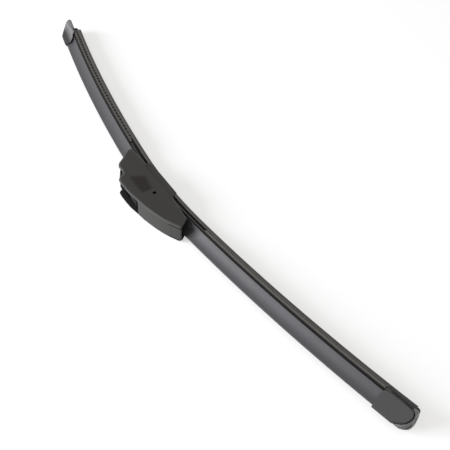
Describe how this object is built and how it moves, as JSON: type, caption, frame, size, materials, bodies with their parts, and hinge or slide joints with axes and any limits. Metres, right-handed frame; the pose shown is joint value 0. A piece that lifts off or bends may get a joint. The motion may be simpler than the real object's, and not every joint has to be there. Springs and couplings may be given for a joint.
{
  "type": "wiper blade",
  "caption": "Flat beam wiper blade on its side: sprung rails in a rubber lip, long spoiler, end caps and a central connector with a turning adapter.",
  "frame": {"origin": "middle of the flat seat on the adapter, where the wiper arm sits", "axes": "+X along the blade to its outer end, +Y to the glass, +Z to the wind side"},
  "size_m": [0.547, 0.0754, 0.0156],
  "materials": {
    "wiping_rubber": "satin",
    "flexor_steel": "satin",
    "spoiler": "satin",
    "cap_plastic": "satin",
    "base_plastic": "matte",
    "cover_plastic": "matte",
    "pin_steel": "brushed",
    "adapter_plastic": "satin"
  },
  "bodies": {
    "blade": {"wiping_rubber": "wiping_rubber", "flexor_wind": "flexor_steel", "flexor_lee": "flexor_steel", "spoiler_outer": "spoiler", "spoiler_inner": "spoiler", "end_cap_outer": "cap_plastic", "end_cap_inner": "cap_plastic", "connector_base": "base_plastic", "connector_cover": "cover_plastic", "pivot_pin": "pin_steel"},
    "adapter": {"adapter": "adapter_plastic"},
    "button": {"release_button": "adapter_plastic"}
  },
  "joints": [
    {"name": "adapter_pivot", "type": "hinge", "parent": "blade", "child": "adapter", "pos_m": [0.01, 0.008, 0], "axis": [0, 0, 1], "range_deg": [-10, 10]},
    {"name": "button_press", "type": "slide", "parent": "adapter", "child": "button", "axis": [0, 1, 0], "range_m": [0, 0.0016], "stiffness_N_per_m": 800, "springref_m": -0.001}
  ]
}
